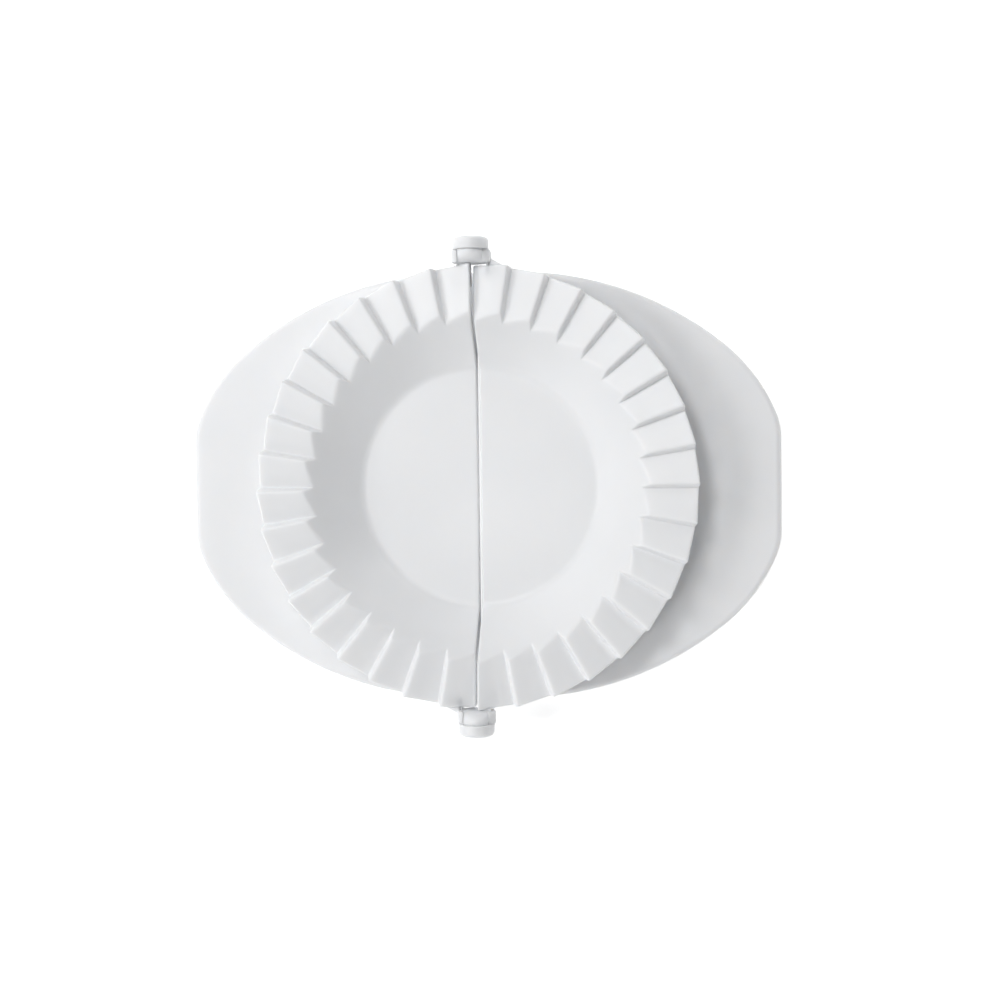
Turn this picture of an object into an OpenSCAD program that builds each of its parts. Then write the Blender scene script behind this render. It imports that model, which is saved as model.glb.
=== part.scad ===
// Hand press for empanadas and dumplings, lying open with its cups up.
// Two identical mouldings face each other across the hinge line. Each one is half a round
// cup with a saw-toothed rim, on half an oval base plate whose outer end is the grip, with
// a snap hook at one end of the hinge line and a headed pin at the other end.
// Frame: X runs across the grips, Y along the hinge line, Z up from the table, and the
// origin lies under the middle of the press.

/* [Rim] */
// Diameter of the toothed rim, over the high corners of the teeth
rim_d = 103; // [90:1:120]
// Number of teeth on each half
teeth = 18; // [14:1:22]
// Height of a tooth, from its low edge to its high corner
tooth_rise = 2.6; // [1.6:0.1:3]
// Width of the steep face between two teeth, seen from above
step_w = 0.9; // [0.6:0.05:1.4]
// Width of the slit between the halves
slit_w = 0.5; // [0.3:0.05:1.2]
// How far a tooth's low corner lies inside the rim circle
corner_inset = 0.3; // [0.1:0.05:0.6]
// Depth of the rim's sheet below the level of its high corners, less the tooth height
rim_web = 0.4; // [0.2:0.1:1.2]
// Room for the dough between the rims when the press is closed
pinch_gap = 0.6; // [0.4:0.1:1.2]

/* [Cup] */
// Radius of the cup's mouth at the low edges of the teeth
mouth_r = 38.3; // [36:0.1:41]
// Depth from the hinge axis to the middle of the cup's floor
cup_depth = 11.4; // [10:0.1:13]
// Slope of the floor from its middle up to its edge
floor_slope = 1.8; // [1:0.1:4]
// Slope of the cup's wall from the level
wall_slope = 42; // [38:1:48]
// Radius of the round between the wall and the floor
floor_round = 3; // [2:0.5:7]
// Thickness of the cup's wall, square to its face
wall_t = 2.8; // [2:0.1:3.4]
// Thickness of the floor in the middle
floor_t = 2.6; // [2:0.1:3.6]

/* [Base plate] */
// Overall width of the open press over its two grips
span = 141.5; // [134:0.5:156]
// Length of the straight edge at the end of each grip
grip_flat = 21.6; // [16:0.2:28]
// Radius of the grip's corner, next to the straight edge
corner_r = 15.6; // [13:0.2:19]
// Angle that the grip's corner turns through
corner_turn = 22.5; // [19:0.5:27]
// Radius of the flank that follows the corner
flank_r = 42; // [38:1:46]
// Angle that the flank turns through
flank_turn = 28; // [24:1:30]
// Radius of the long side that runs on towards the hinge line
side_r = 78.3; // [72:0.1:84]
// Thickness of the base plate
base_t = 2.4; // [1.8:0.1:3]

/* [Hinge] */
// Diameter of the pin's neck, which turns in the hook
neck_d = 6.8; // [6:0.1:7.2]
// Running clearance between the neck and the hook, on the radius
neck_fit = 0.08; // [0.03:0.01:0.1]
// Thickness of the hook around the neck
hook_wall = 1; // [0.8:0.1:1.4]
// Length of the hook along the hinge line
hook_len = 2.4; // [2:0.1:4]
// Angle of the hook's open mouth
hook_mouth = 118; // [90:2:130]
// How far the web beside the hook reaches out past the rim
web_out = 1.2; // [0.6:0.1:1.8]
// Play at each end of the hook, and between the rim and the other half's pin
end_play = 0.15; // [0.1:0.05:0.3]
// Length of the neck between the rim and the hook
cheek_t = 0.3; // [0.2:0.05:1]
// Diameter of the pin's head
head_d = 8.3; // [7.6:0.1:9]
// Length of the pin's head
head_len = 2.8; // [2:0.1:4]
// Chamfer around the pin's head
head_chamfer = 0.6; // [0.3:0.1:1]
// Length of the pin's root under the rim
root_len = 5; // [3:0.5:8]

/* [Hidden] */
$fn = 96;
over = 1;
rim_r = rim_d / 2;
slit = slit_w / 2;
step = step_w / 2;
pitch = 180 / teeth;
// Heights, from the table up
axis_z = floor_t + cup_depth;
tooth_mid_z = axis_z - pinch_gap / 2;
low_z = tooth_mid_z - tooth_rise / 2;
high_z = tooth_mid_z + tooth_rise / 2;
sheet_t = tooth_rise + rim_web;
// The cup's cone: its radius at a height, and the extra radius of its outer face
function cone_r(z) = mouth_r + (z - low_z) / tan(wall_slope);
wall_r = wall_t / sin(wall_slope);
// Centre of the round between floor and wall, a round's radius off both of them
floor_off = floor_round * dir(floor_slope + 90);
wall_off = floor_round * dir(wall_slope + 90);
round_c = let (
    a = [0, floor_t] + floor_off,
    b = [mouth_r, low_z] + wall_off,
    u = dir(floor_slope),
    v = dir(wall_slope)
) a + cross(b - a, v) / cross(u, v) * u;
// Base plate: centres of the three arcs of its outline
corner_c = [span / 2 - corner_r, grip_flat / 2];
flank_c = corner_c - (flank_r - corner_r) * dir(corner_turn);
side_c = flank_c - (side_r - flank_r) * dir(corner_turn + flank_turn);
// Hinge: radii, and places along the hinge line
neck_r = neck_d / 2;
head_r = head_d / 2;
hook_in_r = neck_r + neck_fit;
hook_out_r = hook_in_r + hook_wall;
neck_y = rim_r + end_play;
hook_y = neck_y + cheek_t;
head_y = hook_y + hook_len + end_play;
end_y = head_y + head_len;

function dir(a) = [cos(a), sin(a)];
// Direction in plan at a bearing that is turned clockwise from +Y
function bearing(a) = [sin(a), cos(a)];
// Point beside the radius at a bearing, at a distance past it
function beside(a, past, r) = sqrt(r * r - past * past) * bearing(a) + past * bearing(a + 90);
// The low edge of a tooth runs half a step past its radius, and the crest before it half a
// step short. At the two ends of the rim they run along the slit.
function low_past(k) = k == 0 ? slit : k == teeth ? -slit : step;
function crest_past(k) = k == teeth ? -slit : -step;
function edge_point(k, r) = beside(k * pitch, low_past(k), r);
function crest_point(k, r) = beside(k * pitch, crest_past(k), r);
// Where the low edges on both sides of a tooth would cross
function crossing(k) =
    (low_past(k) * bearing((k + 1) * pitch) - low_past(k + 1) * bearing(k * pitch)) / sin(pitch);
function at(p, z) = [p[0], p[1], z];
function mix(p, q, t) = p + t * (q - p);

// Cut through the rim's sheet along a tooth's low edge or its crest, as four corners
function section(outer, inner) =
    [outer, inner, inner - [0, 0, sheet_t], outer - [0, 0, sheet_t]];
function low_section(k) = section(
    at(edge_point(k, rim_r - corner_inset), low_z),
    at(edge_point(k, mouth_r - over), low_z)
);
function crest_section(k) = let (
    outer = at(crest_point(k + 1, rim_r), high_z),
    apex = at(crossing(k), low_z)
) section(outer, mix(apex, outer, (mouth_r - over) / rim_r));

// The toothed rim is one sheet: each tooth rises from its low edge to its crest and drops
// steeply to the next low edge. All three edges aim at one point, so its faces are flat.
module toothed_rim() {
    last = 2 * teeth - 1;
    sections = [for (k = [0 : teeth - 1]) each [low_section(k), crest_section(k)]];
    polyhedron(
        points = [for (s = sections) each s],
        faces = concat(
            [[0, 1, 2, 3]],
            [for (i = [0 : last - 1], j = [0 : 3])
                [4 * i + j, 4 * (i + 1) + j, 4 * (i + 1) + (j + 1) % 4, 4 * i + (j + 1) % 4]],
            [[4 * last + 3, 4 * last + 2, 4 * last + 1, 4 * last]]
        )
    );
}

// Outside of the cup, solid from the table up into the rim's sheet
module cup_body() {
    top_z = low_z - rim_web / 2;
    cylinder(h = top_z, r1 = cone_r(0) + wall_r, r2 = cone_r(top_z) + wall_r);
}

// Space inside the cup: a cone over a shallow floor. The round between them is made of
// narrow bands, because a true torus doesn't meet the plane of the slit cleanly.
module cup_space() {
    top_z = high_z + over;
    bands = 8;
    step = (wall_slope - floor_slope) / bands;
    rotate_extrude() polygon([
        [0, floor_t],
        for (i = [0 : bands]) round_c + floor_round * dir(floor_slope - 90 + i * step),
        [cone_r(top_z), top_z],
        [0, top_z]
    ]);
}

// A quarter of the base plate's outline. Its three arcs run into one another, and the
// smaller arc's disc lies inside the larger one beyond the join.
module arc_sector(centre, r, from, turn) {
    far = 2 * r;
    intersection() {
        translate(centre) circle(r = r);
        translate(centre) polygon([[0, 0], far * dir(from), far * dir(from + turn)]);
    }
}

module quarter_outline() {
    side_from = corner_turn + flank_turn;
    lap = 5;
    translate(corner_c) circle(r = corner_r);
    arc_sector(flank_c, flank_r, corner_turn, flank_turn + lap);
    arc_sector(side_c, side_r, side_from, 90 - side_from);
    polygon([
        [0, 0],
        [span / 2, 0],
        [span / 2, corner_c[1]],
        corner_c,
        flank_c + flank_r * dir(side_from),
        [max(side_c[0], 0), side_c[1] + side_r],
        [0, side_c[1] + side_r]
    ]);
}

module outline() {
    quarter_outline();
    mirror([0, 1]) quarter_outline();
}

module base_plate() {
    linear_extrude(base_t) outline();
}

// A round bar along the hinge line, from one place on it to another
module bar(r, from, to) {
    translate([0, to, axis_z]) rotate([90, 0, 0]) cylinder(h = to - from, r = r);
}

// Snap hook at the +Y end: a ring with its mouth up, and the arm that joins it to the rim
module hook() {
    far = 2 * hook_out_r;
    mouth = [
        [0, 0],
        far * dir(90 - hook_mouth / 2),
        [0, far / cos(hook_mouth / 2)],
        far * dir(90 + hook_mouth / 2)
    ];
    difference() {
        union() {
            bar(hook_out_r, hook_y, hook_y + hook_len);
            hook_arm();
        }
        bar(hook_in_r, rim_r - corner_inset - over, head_y);
        translate([0, head_y, axis_z]) rotate([90, 0, 0])
            linear_extrude(head_y - hook_y + over) polygon(mouth);
    }
}

// The arm runs out from under the rim, with a web on its side that fills the corner
module hook_arm() {
    arm_inset = 0.15;
    arm_x = hook_in_r;
    side_x = hook_out_r - arm_inset;
    inner_y = rim_r - root_len / 2;
    bottom_z = axis_z - hook_out_r;
    translate([0, 0, bottom_z]) linear_extrude(low_z + tooth_rise / 3 - bottom_z) polygon([
        [arm_x, inner_y],
        [arm_x, hook_y + hook_len],
        [side_x, hook_y + hook_len],
        [side_x, rim_r + web_out],
        beside(pitch, -step_w, rim_r - corner_inset),
        beside(pitch, -step_w, inner_y)
    ]);
}

// Headed pin at the -Y end: head, neck, and a root that grows out of this half alone
module pin() {
    bar(neck_r, -head_y - head_len / 2, -neck_y);
    translate([0, -head_y, axis_z]) rotate([90, 0, 0]) {
        cylinder(h = head_len - head_chamfer, r = head_r);
        translate([0, 0, head_len - head_chamfer])
            cylinder(h = head_chamfer, r1 = head_r, r2 = head_r - head_chamfer);
    }
    intersection() {
        bar(neck_r, -neck_y - cheek_t / 2, -rim_r + corner_inset);
        beside_slit();
    }
    intersection() {
        bar(head_r, -rim_r + corner_inset, root_len - rim_r);
        beside_slit();
        translate([0, -rim_d, 0]) cube([rim_d, rim_d, low_z + tooth_rise / 4]);
    }
}

// Everything on this half's side of the slit
module beside_slit() {
    translate([slit, -rim_d, -over]) cube([rim_d, 2 * rim_d, 2 * axis_z + 2 * over]);
}

module half() {
    difference() {
        union() {
            toothed_rim();
            intersection() {
                union() {
                    cup_body();
                    base_plate();
                }
                beside_slit();
            }
        }
        cup_space();
    }
    hook();
    pin();
}

module right_half() {
    color([0.93, 0.94, 0.95]) half();
}

module left_half() {
    color([0.93, 0.94, 0.95]) rotate([0, 0, 180]) half();
}

left_half();
right_half();
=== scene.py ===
"""Looks of the empanada press. Each half of the press is rebuilt here as one moulding with
rounded edges, on the same measures as the CAD solids, and rides on that half's body.
Lengths in the first parts are in millimetres, and meshes are made in metres."""

import math

import bpy
import numpy as np
from mathutils import Matrix, Vector
from mathutils.geometry import delaunay_2d_cdt


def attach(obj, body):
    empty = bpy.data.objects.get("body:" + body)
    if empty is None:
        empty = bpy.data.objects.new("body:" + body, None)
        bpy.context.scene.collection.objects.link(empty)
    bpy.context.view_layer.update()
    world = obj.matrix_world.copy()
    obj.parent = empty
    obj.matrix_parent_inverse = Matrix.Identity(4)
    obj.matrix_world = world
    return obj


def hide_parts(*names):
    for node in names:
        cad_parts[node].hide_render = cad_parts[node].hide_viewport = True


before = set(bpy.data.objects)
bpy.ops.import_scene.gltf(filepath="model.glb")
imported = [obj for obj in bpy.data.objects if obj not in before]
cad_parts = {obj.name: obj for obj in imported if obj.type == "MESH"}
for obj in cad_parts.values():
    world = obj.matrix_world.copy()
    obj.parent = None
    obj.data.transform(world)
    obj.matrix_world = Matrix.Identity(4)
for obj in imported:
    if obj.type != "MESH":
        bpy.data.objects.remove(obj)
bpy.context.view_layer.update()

MM = 0.001

# --- Measures, in millimetres, as in the CAD source unless a comment says otherwise ---
RIM_R = 51.5
TEETH = 18
PITCH = 180 / TEETH
RISE = 2.6
CORNER_INSET = 0.3
# Half the width of a steep face, and of the slit: the CAD has 0.45 and 0.25
STEP = 0.39
SLIT = 0.3
SHEET_T = 3.0
AXIS_Z = 14.0
LOW_Z = 12.4
MOUTH_R = 38.3
WALL_SLOPE = 42
WALL_TAN = math.tan(math.radians(WALL_SLOPE))
WALL_T = 2.8
# Distance along a radius from the cup's wall to the cone outside it
WALL_R = WALL_T / math.sin(math.radians(WALL_SLOPE))
FLOOR_Z = 2.6
FLOOR_SLOPE = 1.8
FLOOR_TAN = math.tan(math.radians(FLOOR_SLOPE))
ROUND_R = 3.0
BASE_T = 2.4
SPAN = 141.5
GRIP_FLAT = 21.6
# Arcs of the plate's outline from the grip on, each (radius, start, turn)
ARCS = ((15.6, 0.0, 22.5), (42.0, 22.5, 28.0), (78.3, 50.5, 39.5))
NECK_R = 3.4
# The hook's bore: the CAD has 3.48
BORE_R = 3.43
HOOK_R = 4.48
HOOK_MOUTH = 118
ARM_X = 4.33
HEAD_R = 4.15
# Ends of the barrel that hook and neck share: the CAD's hook runs from 51.95 to 54.35
HOOK_Y = 51.65
HOOK_END = 54.45
HEAD_Y = 54.5
END_Y = 57.3
WEB_Y = 52.7
WEB_TOP = LOW_Z + RISE / 3
WEB_DEPTH = 2.5
ROOT_TOP = LOW_Z + RISE / 4
ROOT_DEPTH = 5

# --- Roundings that the CAD solids leave sharp ---
# Reach of the mean that rounds all ridges and valleys
SOFT = 0.16
# Differences in height over which the mouth and the crests change from one face to the next
MOUTH_BLEND = 0.35
CREST_BLEND = 0.9
SLIT_ROUND = 0.45
RIM_ROUND = 0.45
UNDER_ROUND = 0.4
DOME_LENGTH = 2.4
DOME_POWER = 2.2
PLATE_ROUND = 1.5
PLATE_UNDER = 0.4
FOOT_ROUND = 1.0
HEAD_ROUND = 0.95
HEAD_BACK_ROUND = 0.1
HEAD_FACE_INSET = 2.4
HOOK_TAPER = 32
HOOK_START_ROUND = 0.15
HOOK_END_ROUND = 0.08
ARM_ROUND = 0.3
WEB_ROUND = 0.25
ROOT_ROUND = 0.3
# Ends that lie under the rim or inside another form
HIDDEN_ROUND = 0.2
# Least share of its height that the dome starts with, on the neck and on the hook
NECK_LEAST = 0.12
HOOK_LEAST = 0.77


def unit(degrees):
    """Direction at an angle from +X towards +Y."""
    a = math.radians(degrees)
    return np.array([math.cos(a), math.sin(a)])


def bearing(degrees):
    """Direction at an angle from +Y towards +X, as the teeth are counted."""
    a = math.radians(degrees)
    return np.array([math.sin(a), math.cos(a)])


def quarter(angles):
    """How far a quarter round has turned in and has yet to go, as shares, at each angle."""
    return [(1 - math.cos(math.radians(a)), 1 - math.sin(math.radians(a))) for a in angles]


# --- The teeth: low edges run past their radius, and crests run short of it ---
def beside(k, past, r):
    """Place at a radius from the middle, on a line beside the radius that tooth k starts on."""
    return math.sqrt(r * r - past * past) * bearing(k * PITCH) + past * bearing(k * PITCH + 90)


def low_past(k):
    """Distance of a tooth's low edge past its radius."""
    return SLIT if k == 0 else -SLIT if k == TEETH else STEP


def crest_corner(k):
    """Outer end of the crest that comes before radius k."""
    return beside(k, -SLIT if k == TEETH else -STEP, RIM_R)


def apex(k):
    """Where the low edges on both sides of a tooth meet."""
    a, b = bearing(k * PITCH), bearing((k + 1) * PITCH)
    return (low_past(k) * b - low_past(k + 1) * a) / math.sin(math.radians(PITCH))


# Each tooth is two planes through its apex: the long facet and the steep face after it.
ks = np.arange(TEETH)
APEX = np.array([apex(k) for k in ks])
CREST = np.array([crest_corner(k + 1) for k in ks])
FACET_N = np.array([bearing(k * PITCH + 90) for k in ks])
STEEP_N = np.array([bearing((k + 1) * PITCH + 90) for k in ks])
FACET_D = np.sum((CREST - APEX) * FACET_N, axis=1)
STEEP_D = np.sum((CREST - APEX) * STEEP_N, axis=1)
# The last tooth ends at the slit with its crest, so it has no steep face
STEEP_D[-1] = -1e-6


def lower(a, b, blend):
    """The lower one of two heights, with a rounded change from one to the other."""
    return np.minimum(a, b) - (np.hypot(a - b, blend) - np.abs(a - b)) / 2


def teeth_z(x, y):
    """Height of the toothed surface, with rounded crests."""
    x = np.maximum(x, SLIT)
    r = np.maximum(np.hypot(x, y), 2 * STEP)
    turned = np.degrees(np.arctan2(x, y)) - np.degrees(np.arcsin(STEP / r))
    k = np.clip(np.floor(turned / PITCH + 1e-9).astype(int), 0, TEETH - 1)
    p = np.stack([x, y], axis=-1) - APEX[k]
    facet = LOW_Z + RISE * np.sum(p * FACET_N[k], axis=-1) / FACET_D[k]
    steep = LOW_Z + RISE * np.sum(p * STEEP_N[k], axis=-1) / STEEP_D[k]
    return np.where(k == TEETH - 1, facet, lower(facet, steep, CREST_BLEND))


# --- The cup ---
def round_centre():
    """Centre of the round between the cup's floor and wall, as (radius, height)."""
    fa, wa = math.atan(FLOOR_TAN), math.atan(WALL_TAN)
    ax, az = -ROUND_R * math.sin(fa), FLOOR_Z + ROUND_R * math.cos(fa)
    bx, bz = MOUTH_R - ROUND_R * math.sin(wa), LOW_Z + ROUND_R * math.cos(wa)
    t = ((bz - az) - (bx - ax) * WALL_TAN) / (FLOOR_TAN - WALL_TAN)
    return ax + t, az + t * FLOOR_TAN


ROUND_X, ROUND_Z = round_centre()
ROUND_IN = ROUND_X + ROUND_R * math.sin(math.atan(FLOOR_TAN))
ROUND_OUT = ROUND_X + ROUND_R * math.sin(math.atan(WALL_TAN))


def cup_z(r):
    """Height of the cup's inside."""
    floor = FLOOR_Z + r * FLOOR_TAN
    wall = LOW_Z + (r - MOUTH_R) * WALL_TAN
    foot = ROUND_Z - np.sqrt(np.clip(ROUND_R**2 - (r - ROUND_X) ** 2, 0, None))
    return np.where(r < ROUND_IN, floor, np.where(r > ROUND_OUT, wall, foot))


def disc_spots():
    """The middle of a small disc and two rings of places round it."""
    spots = [(0.0, 0.0)]
    for share, n in ((0.5, 6), (1.0, 10)):
        for i in range(n):
            a = 2 * math.pi * (i + share) / n
            spots.append((share * SOFT * math.cos(a), share * SOFT * math.sin(a)))
    return spots


SPOTS = disc_spots()


def soften(height, x, y):
    """The mean of a height over a small disc, which rounds its ridges and valleys."""
    return sum(height(np.maximum(x + dx, SLIT), y + dy) for dx, dy in SPOTS) / len(SPOTS)


def top_z(x, y):
    """Height of the upper surface: the lower one of teeth and cup."""
    return soften(lambda a, b: lower(teeth_z(a, b), cup_z(np.hypot(a, b)), MOUTH_BLEND), x, y)


def under_z(x, y):
    """Height of the rim's underside."""
    return soften(teeth_z, x, y) - SHEET_T


# --- Base plate's outline: distance from the middle of the press in a direction ---
def plate_outline(inset):
    """A quarter of the outline, moved inwards, as (angles, distances)."""
    reach = SPAN / 2 - inset
    pts = [(reach, y) for y in np.linspace(0, GRIP_FLAT / 2, 12)[:-1]]
    centre = np.array([SPAN / 2 - ARCS[0][0], GRIP_FLAT / 2])
    last_r = ARCS[0][0]
    for r, start, turn in ARCS:
        centre = centre - (r - last_r) * unit(start)
        last_r = r
        pts += [centre + (r - inset) * unit(start + turn * i / 40) for i in range(41)]
    pts += [(x, pts[-1][1]) for x in np.linspace(pts[-1][0], 0, 8)[1:]]
    pts = np.array(pts)
    return np.arctan2(pts[:, 1], pts[:, 0]), np.hypot(pts[:, 0], pts[:, 1])


OUTLINES = {}


def plate_r(theta, inset):
    """Distance from the middle to the plate's outline, moved inwards by an inset."""
    if inset not in OUTLINES:
        OUTLINES[inset] = plate_outline(inset)
    angles, radii = OUTLINES[inset]
    return np.interp(np.abs(theta), angles, radii)


# --- Columns of the moulding's grid, from the slit at +Y round to the slit at -Y ---
FACET_SHARES = (0.0, 0.02, 0.045, 0.1, 0.2, 0.35, 0.5, 0.65, 0.8, 0.9, 0.955, 0.98)
STEEP_SHARES = (0.0, 0.2, 0.4, 0.6, 0.8)
LOW_RIM = RIM_R - CORNER_INSET
EDGE_X = SLIT + SLIT_ROUND
EDGE_TURNS = quarter((0, 25, 50, 70, 90))
EDGE_IN = [SLIT_ROUND * into for into, _ in EDGE_TURNS]
EDGE_DROP = [SLIT_ROUND * left for _, left in EDGE_TURNS]
# Columns within this distance of the slit make room for the edge's rounding
SQUEEZED = 3.0
SQUEEZE_GAP = 0.02


def columns():
    """(tooth, share along its facet or None, share across its steep face or None)."""
    made = []
    for k in range(TEETH):
        made += [(k, t, None) for t in FACET_SHARES]
        if k < TEETH - 1:
            made += [(k, None, u) for u in STEEP_SHARES]
    return made + [(TEETH - 1, 1.0, None)]


COLUMNS = columns()


def tooth_points(share):
    """Places of all inner columns at a share of the way out from the middle of the press
    to the rim, on lines that run from each apex."""
    pts = []
    for k, t, u in COLUMNS:
        if t is not None:
            end = (1 - t) * beside(k, low_past(k), LOW_RIM) + t * CREST[k]
        else:
            end = (1 - u) * CREST[k] + u * beside(k + 1, low_past(k + 1), LOW_RIM)
        a, d = APEX[k], end - APEX[k]
        ad, dd = a @ d, d @ d
        pts.append(a + d * (math.sqrt(ad**2 - dd * (a @ a - share**2 * (end @ end))) - ad) / dd)
    pts = np.array(pts)
    near = pts[:, 0] < SLIT + SQUEEZED
    room = SQUEEZED + SLIT - EDGE_X - SQUEEZE_GAP
    squeezed = EDGE_X + SQUEEZE_GAP + (pts[:, 0] - SLIT) * room / SQUEEZED
    pts[:, 0] = np.where(near, squeezed, pts[:, 0])
    return pts


RIM_POINTS = tooth_points(1.0)
RIM_ANGLES = np.arctan2(RIM_POINTS[:, 1], RIM_POINTS[:, 0])
SPREAD = RIM_ANGLES / np.arccos(EDGE_X / RIM_R)


def polar_points(r):
    """Places of the inner columns on a circle about the middle of the press."""
    r = np.maximum(r, EDGE_X)
    theta = SPREAD * np.arccos(np.clip(EDGE_X / r, 0, 1))
    return np.stack([r * np.cos(theta), r * np.sin(theta)], axis=-1)


def with_slit_edges(pts):
    """Adds the columns that round over into the slit, at both ends of a row."""
    north = [(SLIT + d, pts[0][1]) for d in EDGE_IN]
    south = [(SLIT + d, pts[-1][1]) for d in reversed(EDGE_IN)]
    return np.vstack([north, pts, south])


def row(pts, z):
    """A row of the grid at one height, or at the height that a function gives."""
    xy = with_slit_edges(pts)
    heights = z(xy[:, 0], xy[:, 1]) if callable(z) else np.full(len(xy), float(z))
    return np.column_stack([xy, heights])


def rim_row(r, z):
    """A row that runs along the teeth, at a radius on their crests."""
    return row(tooth_points(r / RIM_R), z)


def turned_rows(shelf, radius, angles, sign):
    """Rows that turn round the rim's upper (sign -1) or lower (sign 1) edge."""
    made = []
    for into, left in quarter(angles):
        line = rim_row(RIM_R - radius * left, 0)
        line[:, 2] = shelf[:, 2] + sign * radius * into
        made.append(line)
    return made


# Radii of the grid's rows: in the cup, over its mouth, along the teeth and under the rim
CUP_ROWS = (0, 4, 8, 12, 16, 19, 22, 24, 25.5, 26.4, 27.0, 27.3, 27.6, 27.9, 28.2, 28.5,
            28.8, 29.1, 29.4, 29.8, 30.6, 31.8, 33, 34.2, 35.4, 36.4)
MOUTH_ROWS = np.linspace(36.9, 43.2, 36)
TEETH_ROWS = np.linspace(43.9, RIM_R - RIM_ROUND - 0.5, 8)
UNDER_ROWS = (50, 48, 46, 44, 43)
BOTTOM_ROWS = (26, 18, 10, 4, 0)
# First guess of the radius at which the cup's outside meets the rim's underside
MEET_GUESS = 41.0
# Distances of the plate's first row from the foot, and of its flat rows from its rounded edges
PLATE_START = 0.4
TOP_INSET = 0.3
UNDER_INSET = 0.2


def moulding_rows():
    """The grid's rows, from the middle of the cup's floor out over the rim, back under it,
    out over the base plate and back underneath."""
    rows = [row(polar_points(r), top_z) for r in CUP_ROWS]
    rows += [rim_row(r, top_z) for r in (*MOUTH_ROWS, *TEETH_ROWS, RIM_R - RIM_ROUND)]
    rows += turned_rows(rows[-1], RIM_ROUND, (18, 36, 54, 72, 90), -1)
    shelf = rim_row(RIM_R - UNDER_ROUND, under_z)
    rows += turned_rows(shelf, UNDER_ROUND, (90, 60, 30, 0), 1)
    rows += [rim_row(r, under_z) for r in UNDER_ROWS]
    # Down the outside of the cup, from where it meets the rim's underside
    meet = np.full(len(SPREAD), MEET_GUESS)
    for _ in range(6):
        p = polar_points(meet)
        meet = MOUTH_R + (under_z(p[:, 0], p[:, 1]) - LOW_Z) / WALL_TAN + WALL_R
    meet_z = LOW_Z + (meet - MOUTH_R - WALL_R) * WALL_TAN
    # The foot's round meets the cone above it and the plate below it
    turn = math.radians(WALL_SLOPE)
    reach = FOOT_ROUND * math.tan(turn / 2)
    foot_r = MOUTH_R + WALL_R + (BASE_T - LOW_Z) / WALL_TAN
    foot_top = BASE_T + reach * math.sin(turn)
    for share in (0.0, 0.06, 0.2, 0.4, 0.6, 0.8, 1.0):
        z = meet_z + share * (foot_top - meet_z)
        made = row(polar_points(MOUTH_R + WALL_R + (z - LOW_Z) / WALL_TAN), 0)
        ends = len(EDGE_IN)
        made[:, 2] = np.concatenate([[z[0]] * ends, z, [z[-1]] * ends])
        rows.append(made)
    for share in (0.75, 0.5, 0.25, 0.0):
        a = share * turn
        rows.append(row(polar_points(foot_r - reach + FOOT_ROUND * math.sin(a)),
                        BASE_T + FOOT_ROUND * (1 - math.cos(a))))

    start = foot_r + PLATE_START

    def ring(inset, z, share=1.0):
        """Adds a row at a share of the way from the foot to the plate's outline."""
        theta = RIM_ANGLES
        for _ in range(3):
            r = start + share * (plate_r(theta, inset) - start)
            theta = SPREAD * np.arccos(EDGE_X / r)
        rows.append(row(polar_points(r), z))

    for share in (0.0, 0.15, 0.3, 0.45, 0.6, 0.75, 0.88, 0.95):
        ring(PLATE_ROUND + TOP_INSET, BASE_T, share)
    for into, left in quarter(range(0, 91, 9)):
        ring(PLATE_ROUND * left, BASE_T - PLATE_ROUND * into)
    for into, left in quarter((90, 60, 30, 0)):
        ring(PLATE_UNDER * left, PLATE_UNDER * into)
    for share in (0.85, 0.55, 0.25):
        ring(PLATE_UNDER + UNDER_INSET, 0.0, share)
    rows += [row(polar_points(r), 0.0) for r in BOTTOM_ROWS]
    return np.array(rows)


def round_into_slit(grid):
    """Moves the columns next to the slit in from the surface, along each section's normal."""
    for side in (1, -1):
        for i, drop in enumerate(EDGE_DROP):
            col = i if side == 1 else grid.shape[1] - 1 - i
            line = grid[:, col, 1:].copy()
            line[:, 0] *= side
            step = np.empty_like(line)
            step[1:-1] = line[2:] - line[:-2]
            step[0], step[-1] = (1.0, 0.0), (-1.0, 0.0)
            length = np.maximum(np.hypot(step[:, 0], step[:, 1]), 1e-9)
            inward = np.column_stack([step[:, 1], -step[:, 0]]) / length[:, None]
            moved = line + drop * inward
            moved[0, 0] = moved[-1, 0] = 0.0
            moved[:, 0] = np.maximum(moved[:, 0], 0.0)
            grid[:, col, 1] = moved[:, 0] * side
            grid[:, col, 2] = moved[:, 1]
    return grid


def moulding_mesh():
    """(verts, faces, numbers of the flat faces) of one half without its hinge pieces."""
    grid = round_into_slit(moulding_rows())
    nr, nc = grid.shape[:2]
    faces = [(i * nc + j, i * nc + j + 1, (i + 1) * nc + j + 1, (i + 1) * nc + j)
             for i in range(nr - 1) for j in range(nc - 1)]
    verts = [tuple(p) for p in grid.reshape(-1, 3)]
    # The flat face in the slit is cut into triangles inside the section's outline
    loop = [i * nc for i in range(nr)] + [i * nc + nc - 1 for i in range(nr)][::-1]
    outline = [Vector(verts[i][1:]) for i in loop]
    edges = [(i, (i + 1) % len(loop)) for i in range(len(loop))]
    pts, _, tris, sources, _, _ = delaunay_2d_cdt(outline, edges, [], 1, 1e-4)
    index = []
    for p, source in zip(pts, sources):
        if source:
            index.append(loop[source[0]])
        else:
            index.append(len(verts))
            verts.append((SLIT, p[0], p[1]))
    first = len(faces)
    for a, b, c in tris:
        (ay, az), (by, bz), (cy, cz) = pts[a], pts[b], pts[c]
        left_turn = (by - ay) * (cz - az) - (bz - az) * (cy - ay) > 0
        faces.append(tuple(index[i] for i in ((a, c, b) if left_turn else (a, b, c))))
    return verts, faces, list(range(first, len(faces)))


# --- Hinge pieces, in the right half's place ---
DISC_POINTS = 72


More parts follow.
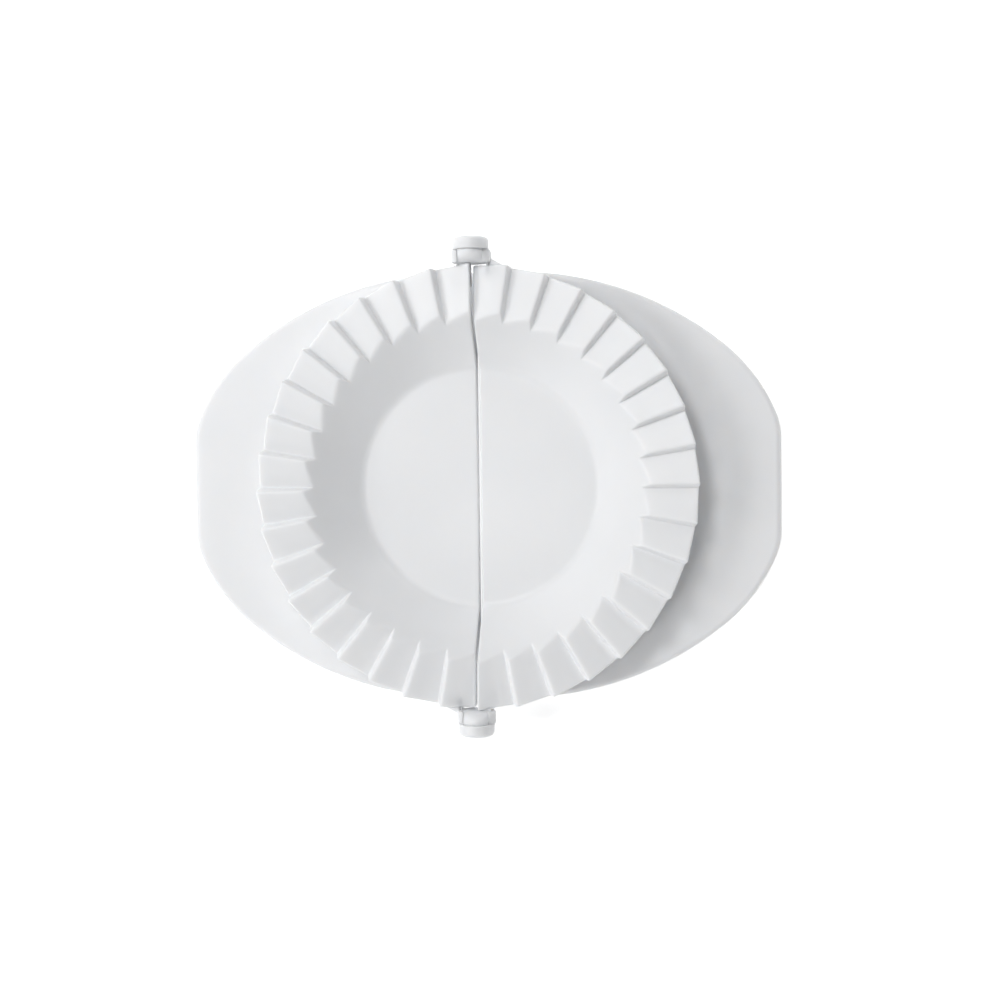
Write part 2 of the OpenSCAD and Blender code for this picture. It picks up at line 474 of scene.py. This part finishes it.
def stack(layers, place):
    """A closed solid through outlines of one length, each (along, [points]), as
    (verts, faces, numbers of the flat faces)."""
    n = len(layers[0][1])
    verts = [place(along, p) for along, pts in layers for p in pts]
    faces = []
    for i in range(len(layers) - 1):
        for j in range(n):
            a, b = i * n + j, i * n + (j + 1) % n
            faces.append((a, b, b + n, a + n))
    faces.append(tuple(range(n))[::-1])
    faces.append(tuple(range((len(layers) - 1) * n, len(layers) * n)))
    # Turns the faces outwards
    if place is along_hinge:
        faces = [face[::-1] for face in faces]
    return verts, faces, [len(faces) - 2, len(faces) - 1]


def along_hinge(y, p):
    """Place of an outline's point in a section across the hinge line."""
    return p[0], y, p[1] + AXIS_Z


def upright(z, p):
    """Place of an outline's point in a level section."""
    return p[0], p[1], z


def shrunk(pts, inset):
    """An outline moved inwards by its own normals."""
    pts = np.array(pts, float)
    step = np.roll(pts, -1, axis=0) - np.roll(pts, 1, axis=0)
    normal = np.column_stack([step[:, 1], -step[:, 0]])
    normal /= np.maximum(np.hypot(normal[:, 0], normal[:, 1]), 1e-9)[:, None]
    return pts - inset * normal


def edge_stations(y0, y1, soft0, soft1):
    """(place, inset) along a bar whose two ends are rounded."""
    turns = quarter((0, 22.5, 45, 67.5, 90))
    start = [(y0 + soft0 * into, soft0 * left) for into, left in turns]
    end = [(y1 - soft1 * into, soft1 * left) for into, left in reversed(turns)]
    return start + end


def bar(section, stations):
    """A bar of one section along the hinge line."""
    return stack([(y, shrunk(section, inset)) for y, inset in stations], along_hinge)


def disc(r):
    """Outline of a disc about the hinge axis."""
    return [tuple(r * unit(360 * i / DISC_POINTS)) for i in range(DISC_POINTS)]


def clipped_disc(r, x_min, z_max):
    """A disc about the hinge axis, cut off at x_min and z_max, with its corners eased."""
    ease = 0.2
    pts = []
    for x, z in disc(r):
        x = x_min + 0.5 * ((x - x_min) + math.hypot(x - x_min, ease))
        z = z_max - 0.5 * ((z_max - z) + math.hypot(z_max - z, ease))
        pts.append((x, z))
    return pts


def dome_height(y, least):
    """Share of its height that the barrel's upper half has, rising from its inner end."""
    t = min(max((y - HOOK_Y) / DOME_LENGTH, 0), 1)
    return max((1 - (1 - t) ** DOME_POWER) ** 0.5, least)


def neck_section(y):
    """The neck's outline at a place along it."""
    height = dome_height(y, NECK_LEAST)
    return [(x, z * height if z > 0 else z) for x, z in disc(NECK_R)]


def hook_section(y, outer_r=HOOK_R):
    """The open ring as a closed outline. Its lips taper down to the neck in its mouth, and
    its outside follows the dome, while its bore stays round."""
    start, end = 90 + HOOK_MOUTH / 2, 450 - HOOK_MOUTH / 2
    wall, steps = outer_r - BORE_R, 60
    lip = [(BORE_R + wall * math.sin(math.pi / 2 * i / 10), HOOK_TAPER * i / 10)
           for i in range(11)]
    outer = [(r, start + a) for r, a in lip]
    outer += [(outer_r, start + HOOK_TAPER + (end - start - 2 * HOOK_TAPER) * i / steps)
              for i in range(1, steps)]
    outer += [(r, end - a) for r, a in reversed(lip)]
    lowered = 1 - dome_height(y, HOOK_LEAST)
    pts = []
    for r, a in outer:
        x, z = r * unit(a)
        pts.append((x, z * (1 - lowered * (r - BORE_R) / wall) if z > 0 else z))
    return pts + [tuple(BORE_R * unit(end - (end - start) * i / steps)) for i in range(1, steps)]


def rounded_box(x0, x1, z0, z1, soft):
    """Outline of a box with rounded corners."""
    pts = []
    for cx, cz, a0 in ((x1 - soft, z1 - soft, 0), (x0 + soft, z1 - soft, 90),
                       (x0 + soft, z0 + soft, 180), (x1 - soft, z0 + soft, 270)):
        pts += [tuple(np.array([cx, cz]) + soft * unit(a0 + 22.5 * j)) for j in range(5)]
    return pts


def web_outline():
    """Plan of the web beside the hook, counter-clockwise, with many points a side."""
    out = bearing(PITCH) * (RIM_R - CORNER_INSET) - 2 * STEP * bearing(PITCH + 90)
    inner = bearing(PITCH) * (RIM_R - WEB_DEPTH) - 2 * STEP * bearing(PITCH + 90)
    lap, ease = 0.3, 0.1
    corners = [(BORE_R + lap, RIM_R - WEB_DEPTH), tuple(inner), tuple(out), (ARM_X, WEB_Y),
               (ARM_X - ease, WEB_Y + ease), (BORE_R + lap, WEB_Y + ease)]
    pts = []
    for a, b in zip(corners, corners[1:] + corners[:1]):
        pts += [tuple(np.array(a) + (np.array(b) - np.array(a)) * i / 8) for i in range(8)]
    return pts


def hook_parts():
    """The open hook, its arm under the rim and the web beside it."""
    stops = [HOOK_Y + (HOOK_END - HOOK_Y) * i / 14 for i in range(14)]
    layers = [(HOOK_Y, hook_section(HOOK_Y, HOOK_R - HOOK_START_ROUND))]
    layers += [(y, hook_section(y)) for y in stops[1:]]
    layers += [(y, hook_section(y, HOOK_R - inset)) for y, inset in
               ((HOOK_END - HOOK_END_ROUND, 0), (HOOK_END - 0.02, 0.02),
                (HOOK_END, HOOK_END_ROUND))]
    arm = rounded_box(BORE_R + 0.02, ARM_X, -HOOK_R, WEB_TOP - AXIS_Z, ARM_ROUND)
    arm_stops = edge_stations(RIM_R - WEB_DEPTH, HOOK_END, HIDDEN_ROUND, HOOK_END_ROUND)
    web = web_outline()
    levels = edge_stations(AXIS_Z - HOOK_R, WEB_TOP, HIDDEN_ROUND, WEB_ROUND)
    return [stack(layers, along_hinge),
            bar(arm, arm_stops),
            stack([(z, shrunk(web, inset)) for z, inset in levels], upright)]


def pin_parts():
    """The pin's root and foot under the rim, its neck and its head."""
    root = clipped_disc(HEAD_R, SLIT, ROOT_TOP - AXIS_Z)
    foot = clipped_disc(NECK_R, SLIT, 0.0)
    stops = [HOOK_Y + DOME_LENGTH * (i / 16) ** 2 for i in range(16, -1, -1)]
    neck = [(-(HEAD_Y + 1), disc(NECK_R))] + [(-y, neck_section(y)) for y in stops]
    # (place, inset) of the head's face, its rounded edge, and its back down to the neck
    head = [(-END_Y, HEAD_R - 0.1), (-END_Y, HEAD_FACE_INSET)]
    head += [(-END_Y + HEAD_ROUND * into, HEAD_ROUND * left)
             for into, left in quarter(range(0, 91, 15))]
    head += [(-HEAD_Y - HEAD_BACK_ROUND, 0.0), (-HEAD_Y - 0.03, 0.03),
             (-HEAD_Y, HEAD_BACK_ROUND), (-HEAD_Y, HEAD_R - NECK_R + 0.2)]
    root_stops = edge_stations(-(RIM_R - 0.3), -(RIM_R - ROOT_DEPTH), ROOT_ROUND, ROOT_ROUND)
    return [bar(root, root_stops),
            bar(foot, [(-(HOOK_Y + 0.5), 0), (-(RIM_R - 0.6), 0)]),
            stack(neck, along_hinge),
            bar(disc(HEAD_R), head)]


def mesh_object(name, verts, faces, flat):
    """An object with a smooth mesh, but for the flat faces, from places in millimetres."""
    mesh = bpy.data.meshes.new(name)
    mesh.from_pydata([tuple(v) for v in np.asarray(verts) * MM], [], faces)
    mesh.validate()
    smooth = np.ones(len(mesh.polygons), bool)
    smooth[flat] = False
    mesh.polygons.foreach_set("use_smooth", smooth)
    mesh.update()
    obj = bpy.data.objects.new(name, mesh)
    bpy.context.scene.collection.objects.link(obj)
    return obj


def merge(parts):
    """Several (verts, faces, flat) as one."""
    verts, faces, flat = [], [], []
    for part_verts, part_faces, part_flat in parts:
        base, first = len(verts), len(faces)
        verts += [tuple(p) for p in part_verts]
        faces += [tuple(i + base for i in face) for face in part_faces]
        flat += [first + i for i in part_flat]
    return verts, faces, flat


# --- Materials: white moulded plastic, slightly translucent, and the pale floor ---
WHITE_DARK = (0.84, 0.85, 0.865, 1)
WHITE_LIGHT = (0.865, 0.873, 0.885, 1)
FLOOR_DARK = (0.93, 0.93, 0.93, 1)
FLOOR_LIGHT = (0.95, 0.95, 0.95, 1)
FLOOR_GLOW = 0.5


def plastic(name):
    """Satin white plastic that lets a little light through."""
    mat = bpy.data.materials.new(name)
    mat.use_nodes = True
    nt = mat.node_tree
    nt.nodes.clear()

    def node(kind, **inputs):
        made = nt.nodes.new(kind)
        for key, value in inputs.items():
            made.inputs[key.replace("_", " ")].default_value = value
        return made

    def link(a, b):
        nt.links.new(a, b)

    out = node("ShaderNodeOutputMaterial")
    bsdf = node("ShaderNodeBsdfPrincipled")
    link(bsdf.outputs["BSDF"], out.inputs["Surface"])
    place = node("ShaderNodeTexCoord").outputs["Object"]

    # Faint cloudy tone from the flow of the melt
    cloud = node("ShaderNodeTexNoise", Scale=42.0, Detail=3.0)
    link(place, cloud.inputs["Vector"])
    tone = node("ShaderNodeValToRGB")
    tone.color_ramp.elements[0].position = 0.3
    tone.color_ramp.elements[0].color = WHITE_DARK
    tone.color_ramp.elements[1].position = 0.7
    tone.color_ramp.elements[1].color = WHITE_LIGHT
    link(cloud.outputs["Fac"], tone.inputs["Fac"])
    link(tone.outputs["Color"], bsdf.inputs["Base Color"])

    # Sheen that varies from place to place
    patch = node("ShaderNodeTexNoise", Scale=160.0, Detail=4.0)
    link(place, patch.inputs["Vector"])
    rough = node("ShaderNodeMapRange", From_Min=0.3, From_Max=0.7, To_Min=0.36, To_Max=0.46)
    link(patch.outputs["Fac"], rough.inputs["Value"])
    link(rough.outputs["Result"], bsdf.inputs["Roughness"])

    # Fine grain of the mould, and slow waviness from shrinking
    grain = node("ShaderNodeTexNoise", Scale=2600.0, Detail=2.0)
    wave = node("ShaderNodeTexNoise", Scale=70.0)
    link(place, grain.inputs["Vector"])
    link(place, wave.inputs["Vector"])
    coarse = node("ShaderNodeBump", Strength=0.1, Distance=0.0006)
    fine = node("ShaderNodeBump", Strength=0.1, Distance=0.00004)
    link(wave.outputs["Fac"], coarse.inputs["Height"])
    link(grain.outputs["Fac"], fine.inputs["Height"])
    link(coarse.outputs["Normal"], fine.inputs["Normal"])
    link(fine.outputs["Normal"], bsdf.inputs["Normal"])

    bsdf.inputs["IOR"].default_value = 1.49
    bsdf.inputs["Subsurface Weight"].default_value = 0.6
    bsdf.inputs["Subsurface Radius"].default_value = (1.0, 0.95, 0.9)
    bsdf.inputs["Subsurface Scale"].default_value = 0.0015
    return mat


def floor_material():
    """A floor that glows a little, so that it stays nearly white under the soft light."""
    mat = bpy.data.materials.new("pale_floor")
    mat.use_nodes = True
    nt = mat.node_tree
    bsdf = nt.nodes["Principled BSDF"]
    noise = nt.nodes.new("ShaderNodeTexNoise")
    noise.inputs["Scale"].default_value = 6.0
    ramp = nt.nodes.new("ShaderNodeValToRGB")
    ramp.color_ramp.elements[0].color = FLOOR_DARK
    ramp.color_ramp.elements[1].color = FLOOR_LIGHT
    nt.links.new(noise.outputs["Fac"], ramp.inputs["Fac"])
    nt.links.new(ramp.outputs["Color"], bsdf.inputs["Base Color"])
    bsdf.inputs["Roughness"].default_value = 0.9
    bsdf.inputs["Specular IOR Level"].default_value = 0.1
    bsdf.inputs["Emission Color"].default_value = (1, 1, 1, 1)
    bsdf.inputs["Emission Strength"].default_value = FLOOR_GLOW
    return mat


# --- Light: soft round boxes, each (name, azimuth from +X towards +Y, elevation, width,
# power), with the angles in degrees ---
LIGHT_DISTANCE = 1.0
LIGHTS = (
    ("left", 180, 42, 0.4, 3.0),
    ("high_back", 90, 60, 0.25, 0.8),
    ("high_back_left", 124, 60, 0.25, 2.6),
    ("top_left", 180, 78, 0.2, 0.85),
    ("high_front_left", 222, 60, 0.25, 0.78),
    ("front_right", 315, 42, 0.4, 0.55),
    ("low_back_right", 45, 22, 0.4, 1.85),
    ("low_back_left", 135, 20, 0.4, 1.1),
    ("low_front_left", 225, 20, 0.4, 1.3),
    ("low_front", 270, 20, 0.4, 1.1),
    ("low_front_right", 315, 20, 0.4, 0.9),
)

# --- Pieces ---
white = plastic("white_plastic_moulded")
verts, faces, flat = merge([moulding_mesh()] + hook_parts() + pin_parts())
right = mesh_object("right_half_moulded", verts, faces, flat)
left = mesh_object("left_half_moulded", np.array(verts) * (-1, -1, 1), faces, flat)
for obj, body, cad in ((right, "right", "right_half"), (left, "left", "left_half")):
    obj.data.materials.append(white)
    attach(obj, body)
    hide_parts(cad)

bpy.ops.mesh.primitive_plane_add(size=6)
floor = bpy.context.object
floor.name = "floor"
floor.data.materials.append(floor_material())

world = bpy.data.worlds.new("studio")
bpy.context.scene.world = world
world.use_nodes = True
world.node_tree.nodes["Background"].inputs["Color"].default_value = (1, 1, 1, 1)
world.node_tree.nodes["Background"].inputs["Strength"].default_value = FLOOR_GLOW
# The sky only carries on the floor's far tone, and lights nothing
for ray in ("diffuse", "glossy", "transmission", "scatter"):
    setattr(world.cycles_visibility, ray, False)

for name, azimuth, elevation, width, power in LIGHTS:
    data = bpy.data.lights.new(name, "AREA")
    data.shape = "DISK"
    data.size = width
    data.energy = power
    lamp = bpy.data.objects.new(name, data)
    bpy.context.scene.collection.objects.link(lamp)
    a, e = math.radians(azimuth), math.radians(elevation)
    way = Vector((math.cos(a) * math.cos(e), math.sin(a) * math.cos(e), math.sin(e)))
    lamp.location = way.normalized() * LIGHT_DISTANCE
    lamp.rotation_euler = (-way).to_track_quat("-Z", "Y").to_euler()

# --- Camera, at the photograph's angle ---
CAMERA_WAY = (0.1279, 0.0312, 0.9913)
CAMERA_DISTANCE = 0.3
CAMERA_ROLL = 0.76
CAMERA_LENS = 46.9
CAMERA_SHIFT = (0.02634, -0.0122)
target = Vector((0, 0, AXIS_Z * MM))
away = Vector(CAMERA_WAY).normalized()
side = Vector((0, 1, 0)).cross(away).normalized()
up = away.cross(side)
roll = math.radians(CAMERA_ROLL)
image_x = math.cos(roll) * side - math.sin(roll) * up
image_y = math.sin(roll) * side + math.cos(roll) * up
camera = bpy.data.objects.new("camera", bpy.data.cameras.new("camera"))
bpy.context.scene.collection.objects.link(camera)
facing = Matrix((image_x, image_y, away)).transposed().to_4x4()
camera.matrix_world = Matrix.Translation(target + CAMERA_DISTANCE * away) @ facing
camera.data.sensor_width = 36
camera.data.lens = CAMERA_LENS
camera.data.shift_x, camera.data.shift_y = CAMERA_SHIFT
camera.data.clip_start = 0.01
camera.data.clip_end = 20
bpy.context.scene.camera = camera
bpy.context.scene.view_settings.view_transform = "Standard"
